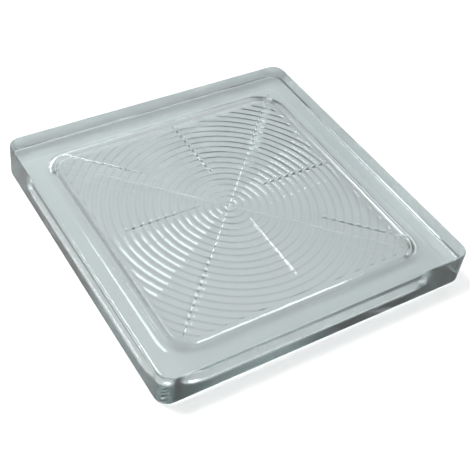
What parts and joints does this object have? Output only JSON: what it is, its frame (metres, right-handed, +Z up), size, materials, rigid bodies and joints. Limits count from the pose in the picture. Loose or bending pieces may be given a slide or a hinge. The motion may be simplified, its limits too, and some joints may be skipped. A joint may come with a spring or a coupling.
{
  "type": "walkable glass floor tile",
  "caption": "Square pressed-glass floor tile with a walk-on face, a bearing rim and a shallow recess underneath whose concentric waves spread the light.",
  "frame": {"origin": "centre of the bearing face that the tile lies on", "axes": "+Z up through the thickness to the walking face, X and Y along the sides"},
  "size_m": [0.198, 0.198, 0.0226],
  "materials": {
    "pressed_glass": "clear pressed glass with a faint grey-green tint, smooth and glossy with fire-polished edges"
  },
  "bodies": {
    "root": {"glass_tile": "pressed_glass"}
  },
  "joints": []
}
